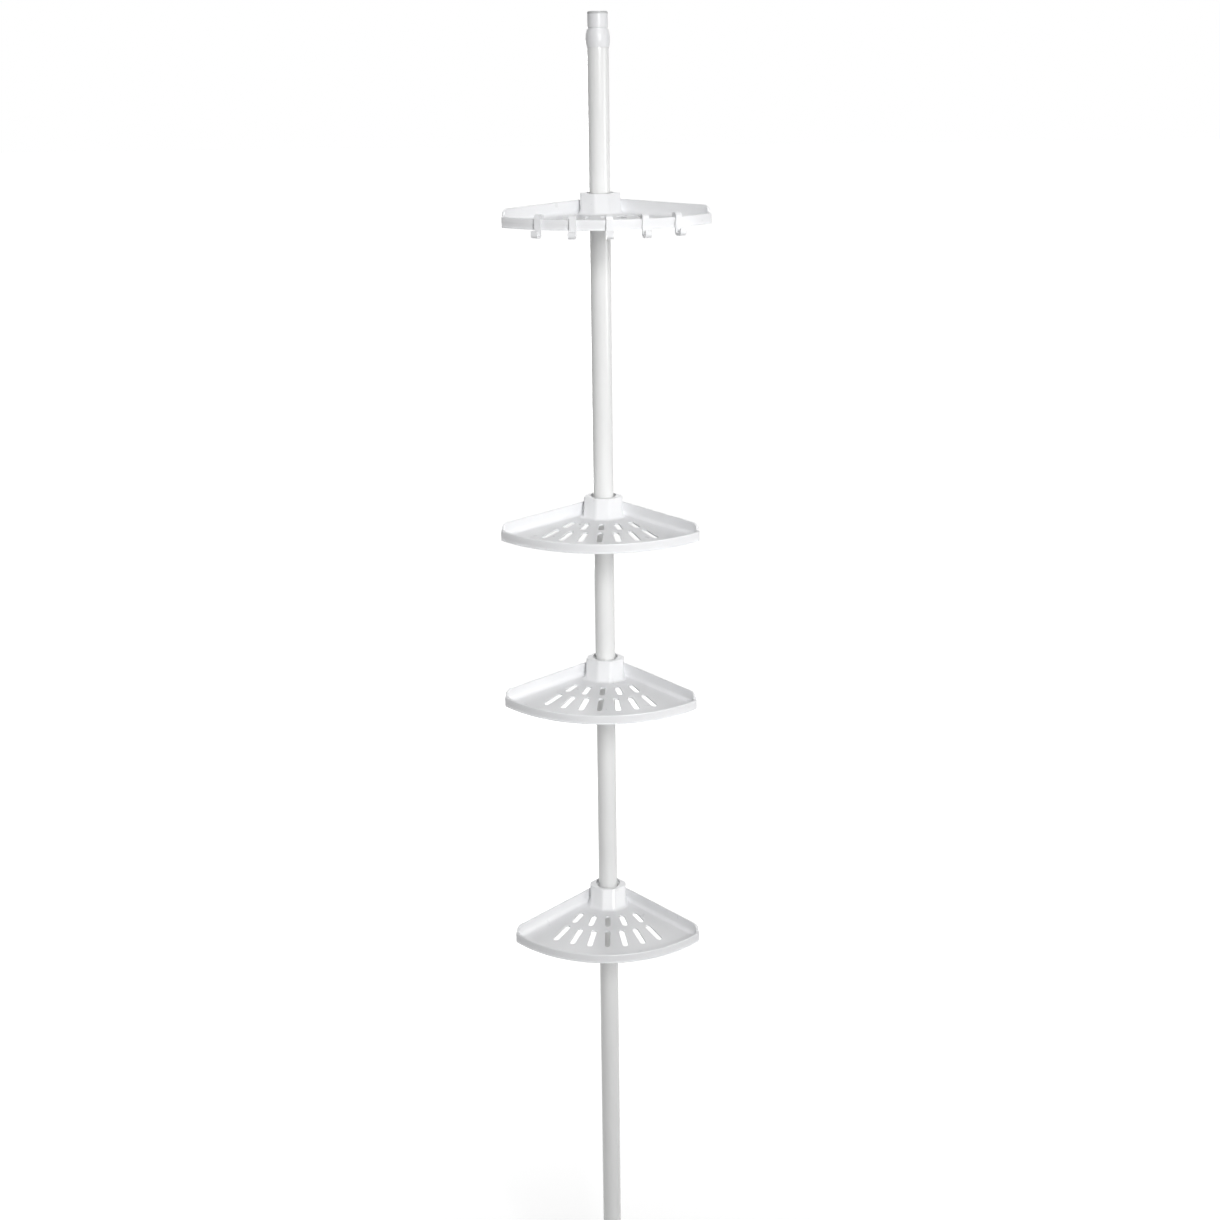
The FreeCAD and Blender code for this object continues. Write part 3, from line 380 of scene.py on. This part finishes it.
# %% Make the floor's white
NEAR_GLOW, FAR_GLOW = 0.45, 0.86
NEAR_REACH, FAR_REACH = 0.15, 2.2


def make_floor_white():
    """White with a glow that grows away from the unit's foot, so that the shadow there stays."""
    finish, shader, place = new_finish("floor_white", roughness=0.9)
    shader.inputs["Base Color"].default_value = (0.86, 0.86, 0.86, 1)
    shader.inputs["Specular IOR Level"].default_value = 0.1
    shader.inputs["Emission Color"].default_value = (1, 1, 1, 1)
    distance = add_node(finish, "ShaderNodeVectorMath", operation="LENGTH")
    join(finish, place, distance.inputs[0])
    glow = add_node(finish, "ShaderNodeMapRange", from_min=NEAR_REACH, from_max=FAR_REACH,
                    to_min=NEAR_GLOW, to_max=FAR_GLOW)
    join(finish, distance.outputs["Value"], glow.inputs["Value"])
    shown = add_node(finish, "ShaderNodeMath", operation="MULTIPLY")
    join(finish, glow.outputs["Result"], shown.inputs[0])
    join(finish, add_looking(finish.node_tree), shown.inputs[1])
    join(finish, shown.outputs["Value"], shader.inputs["Emission Strength"])
    return finish


# %% Lay the floor
FLOOR_SIZE = 60

bpy.ops.mesh.primitive_plane_add(size=FLOOR_SIZE, location=(0, 0, 0))
floor = bpy.context.object
floor.name = "studio_floor"
floor.data.materials.append(make_floor_white())
print("floor:", floor.name)

# %% Set the world
AMBIENT_LEVEL = 0.2

world = bpy.data.worlds.new("studio_world")
bpy.context.scene.world = world
world.use_nodes = True
background = world.node_tree.nodes["Background"]
background.inputs["Color"].default_value = (1, 1, 1, 1)
strength = world.node_tree.nodes.new("ShaderNodeMapRange")
strength.inputs["To Min"].default_value = AMBIENT_LEVEL
strength.inputs["To Max"].default_value = 1.0
world.node_tree.links.new(add_looking(world.node_tree), strength.inputs["Value"])
world.node_tree.links.new(strength.outputs["Result"], background.inputs["Strength"])
print("world lights at", AMBIENT_LEVEL)

# %% [markdown]
# ## Light
#
# A large soft lamp hangs in front, to the right and 40 cm above the pole's top. It models the tube:
# bright in the middle, grey along the left edge. It comes from high enough to light the floors of
# the trays and to leave a shade on the pole right below each of them, which shows through the
# middle slots. Its beam is narrowed, so the light falls off down the pole. A weak lamp on the
# right keeps that edge of the tube open, one high up opens the floors of the lower trays, and one
# behind keeps the backs of the trays from going grey.

# %% Hang the lamps
def add_soft_lamp(name, place, aim, size, power, spread=180):
    """A square area lamp; place, aim and size are in metres, power in watts, spread in degrees."""
    lamp_data = bpy.data.lights.new(name, "AREA")
    lamp_data.size = size
    lamp_data.energy = power
    lamp_data.spread = math.radians(spread)
    lamp = bpy.data.objects.new(name, lamp_data)
    lamp.location = place
    lamp.rotation_euler = (Vector(aim) - Vector(place)).to_track_quat("-Z", "Y").to_euler()
    bpy.context.collection.objects.link(lamp)
    print(name, "at", place, "with", power, "W")


add_soft_lamp("key_lamp", place=(0.75, -2.4, 2.45), aim=(0, 0, 1.3), size=1.0, power=10, spread=78)
add_soft_lamp("side_lamp", place=(1.9, -0.7, 1.6), aim=(0, 0, 1.4), size=0.8, power=5.5)
add_soft_lamp("top_lamp", place=(0.2, -1.2, 3.6), aim=(0, 0, 1.4), size=1.2, power=4.6)
add_soft_lamp("back_lamp", place=(-0.5, 2.6, 1.2), aim=(0, 0, 1.1), size=1.6, power=30)
